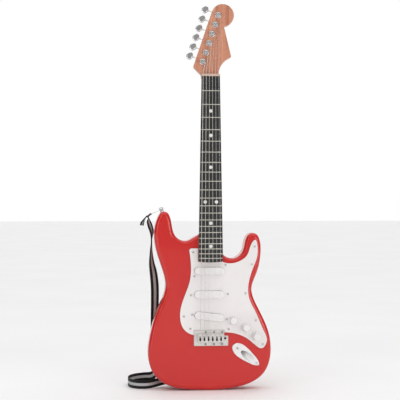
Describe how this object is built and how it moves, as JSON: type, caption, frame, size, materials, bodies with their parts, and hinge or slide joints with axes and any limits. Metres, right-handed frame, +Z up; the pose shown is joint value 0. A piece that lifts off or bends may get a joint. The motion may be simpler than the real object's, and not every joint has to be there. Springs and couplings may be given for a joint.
{
  "type": "toy electric guitar",
  "caption": "Toy electric guitar: hollow double-cutaway body with pickguard, pickups, knobs and jack, bolted neck, worm-geared tuners, strings and a striped strap.",
  "frame": {"origin": "lowest point of the body's lower edge, on the string centre line, half way through the body's depth", "axes": "+Z up the neck, -Y out of the playing face, +X towards the treble side"},
  "size_m": [0.2488, 0.1217, 0.6714],
  "materials": {
    "body_red": "high-gloss moulded shell",
    "screw_steel": "nickel-plated screws",
    "screw_dark": "blackened screws",
    "white_plastic": "glossy single-ply sheet",
    "coil_copper": "varnished winding",
    "plated_steel": "zinc-plated steel",
    "bridge_white": "pale moulded plastic",
    "jack_white": "bright plated cup",
    "socket_black": "black moulded barrel",
    "cone_paper": "black paper",
    "circuit_green": "solder-masked board",
    "cell_jacket": "printed film sleeve",
    "wire_sleeve": "soft insulation",
    "neck_wood": "satin-lacquered reddish wood",
    "fretboard_black": "satin black",
    "fret_steel": "drawn nickel-silver wire",
    "marker_white": "flush inlays",
    "nut_bone": "pale moulded nut",
    "chrome": "bright chrome",
    "string_steel": "plain and wound steel",
    "strap_webbing": "striped woven webbing",
    "strap_black": "black moulded rings",
    "clear_plastic": "translucent soft plastic",
    "cover_white": "glossy moulded caps"
  },
  "bodies": {
    "instrument": {"amplifier_board": "circuit_green", "battery_cells": "cell_jacket", "battery_contacts": "plated_steel", "body_back_shell": "body_red", "body_front_shell": "body_red", "body_screws": "screw_steel", "bridge_base": "bridge_white", "bridge_pickup_cover": "cover_white", "bridge_saddles": "bridge_white", "bridge_screws": "screw_dark", "control_nuts": "plated_steel", "fret_markers": "marker_white", "fretboard": "fretboard_black", "frets": "fret_steel", "jack_plate": "jack_white", "jack_plate_screws": "screw_steel", "jack_socket": "socket_black", "middle_pickup_cover": "cover_white", "neck": "neck_wood", "neck_pickup_cover": "cover_white", "neck_plate": "chrome", "neck_screws": "screw_steel", "nut": "nut_bone", "pickguard": "white_plastic", "pickguard_screws": "screw_steel", "pickup_coils": "coil_copper", "pickup_screws": "screw_steel", "potentiometers": "plated_steel", "speaker_frame": "plated_steel", "strap_links": "clear_plastic", "strap_pin_screws": "screw_steel", "strap_pins": "chrome", "strap_rings": "strap_black", "strap_webbing": "strap_webbing", "strings": "string_steel", "tuner_bushings": "chrome", "tuner_housings": "chrome", "tuner_screws": "screw_steel", "wiring": "wire_sleeve"},
    "volume_control": {"volume_knob": "cover_white", "volume_shaft": "plated_steel"},
    "neck_tone_control": {"neck_tone_knob": "cover_white", "neck_tone_shaft": "plated_steel"},
    "bridge_tone_control": {"bridge_tone_knob": "cover_white", "bridge_tone_shaft": "plated_steel"},
    "tuner_button_1": {"tuner_button_1": "chrome"},
    "tuner_post_1": {"tuner_post_1": "chrome"},
    "tuner_button_2": {"tuner_button_2": "chrome"},
    "tuner_post_2": {"tuner_post_2": "chrome"},
    "tuner_button_3": {"tuner_button_3": "chrome"},
    "tuner_post_3": {"tuner_post_3": "chrome"},
    "tuner_button_4": {"tuner_button_4": "chrome"},
    "tuner_post_4": {"tuner_post_4": "chrome"},
    "tuner_button_5": {"tuner_button_5": "chrome"},
    "tuner_post_5": {"tuner_post_5": "chrome"},
    "tuner_button_6": {"tuner_button_6": "chrome"},
    "tuner_post_6": {"tuner_post_6": "chrome"},
    "battery_door": {"battery_door": "body_red", "battery_door_screw": "screw_steel"},
    "speaker_cone": {"speaker_cone": "cone_paper"}
  },
  "joints": [
    {"name": "volume_turn", "type": "hinge", "parent": "instrument", "child": "volume_control", "pos_m": [0.0397, -0.022, 0.1215], "axis": [0, -1, 0], "range_deg": [-135, 135]},
    {"name": "neck_tone_turn", "type": "hinge", "parent": "instrument", "child": "neck_tone_control", "pos_m": [0.062, -0.022, 0.1095], "axis": [0, -1, 0], "range_deg": [-135, 135]},
    {"name": "bridge_tone_turn", "type": "hinge", "parent": "instrument", "child": "bridge_tone_control", "pos_m": [0.0805, -0.022, 0.0936], "axis": [0, -1, 0], "range_deg": [-135, 135]},
    {"name": "tuner_button_1_turn", "type": "hinge", "parent": "instrument", "child": "tuner_button_1", "pos_m": [-0.01185, -0.0076, 0.57516], "axis": [-0.9511, 0, 0.309], "continuous": true},
    {"name": "tuner_post_1_turn", "type": "hinge", "parent": "instrument", "child": "tuner_post_1", "pos_m": [-0.0134, -0.0076, 0.5704], "axis": [0, 1, 0], "continuous": true},
    {"name": "tuner_button_2_turn", "type": "hinge", "parent": "instrument", "child": "tuner_button_2", "pos_m": [-0.00625, -0.0076, 0.59116], "axis": [-0.9511, 0, 0.309], "continuous": true},
    {"name": "tuner_post_2_turn", "type": "hinge", "parent": "instrument", "child": "tuner_post_2", "pos_m": [-0.0078, -0.0076, 0.5864], "axis": [0, 1, 0], "continuous": true},
    {"name": "tuner_button_3_turn", "type": "hinge", "parent": "instrument", "child": "tuner_button_3", "pos_m": [-0.00095, -0.0076, 0.60756], "axis": [-0.9511, 0, 0.309], "continuous": true},
    {"name": "tuner_post_3_turn", "type": "hinge", "parent": "instrument", "child": "tuner_post_3", "pos_m": [-0.0025, -0.0076, 0.6028], "axis": [0, 1, 0], "continuous": true},
    {"name": "tuner_button_4_turn", "type": "hinge", "parent": "instrument", "child": "tuner_button_4", "pos_m": [0.00435, -0.0076, 0.62376], "axis": [-0.9511, 0, 0.309], "continuous": true},
    {"name": "tuner_post_4_turn", "type": "hinge", "parent": "instrument", "child": "tuner_post_4", "pos_m": [0.0028, -0.0076, 0.619], "axis": [0, 1, 0], "continuous": true},
    {"name": "tuner_button_5_turn", "type": "hinge", "parent": "instrument", "child": "tuner_button_5", "pos_m": [0.00965, -0.0076, 0.64006], "axis": [-0.9511, 0, 0.309], "continuous": true},
    {"name": "tuner_post_5_turn", "type": "hinge", "parent": "instrument", "child": "tuner_post_5", "pos_m": [0.0081, -0.0076, 0.6353], "axis": [0, 1, 0], "continuous": true},
    {"name": "tuner_button_6_turn", "type": "hinge", "parent": "instrument", "child": "tuner_button_6", "pos_m": [0.01505, -0.0076, 0.65636], "axis": [-0.9511, 0, 0.309], "continuous": true},
    {"name": "tuner_post_6_turn", "type": "hinge", "parent": "instrument", "child": "tuner_post_6", "pos_m": [0.0135, -0.0076, 0.6516], "axis": [0, 1, 0], "continuous": true},
    {"name": "battery_door_swing", "type": "hinge", "parent": "instrument", "child": "battery_door", "pos_m": [0, 0.0184, 0.0576], "axis": [-1, 0, 0], "range_deg": [0, 80]},
    {"name": "speaker_cone_travel", "type": "slide", "parent": "instrument", "child": "speaker_cone", "axis": [0, 1, 0], "range_m": [-0.0008, 0.0008], "stiffness_N_per_m": 600}
  ],
  "couplings": [
    {"joint": "tuner_post_1_turn", "follows": "tuner_button_1_turn", "ratio": 0.083333},
    {"joint": "tuner_post_2_turn", "follows": "tuner_button_2_turn", "ratio": 0.083333},
    {"joint": "tuner_post_3_turn", "follows": "tuner_button_3_turn", "ratio": 0.083333},
    {"joint": "tuner_post_4_turn", "follows": "tuner_button_4_turn", "ratio": 0.083333},
    {"joint": "tuner_post_5_turn", "follows": "tuner_button_5_turn", "ratio": 0.083333},
    {"joint": "tuner_post_6_turn", "follows": "tuner_button_6_turn", "ratio": 0.083333}
  ]
}
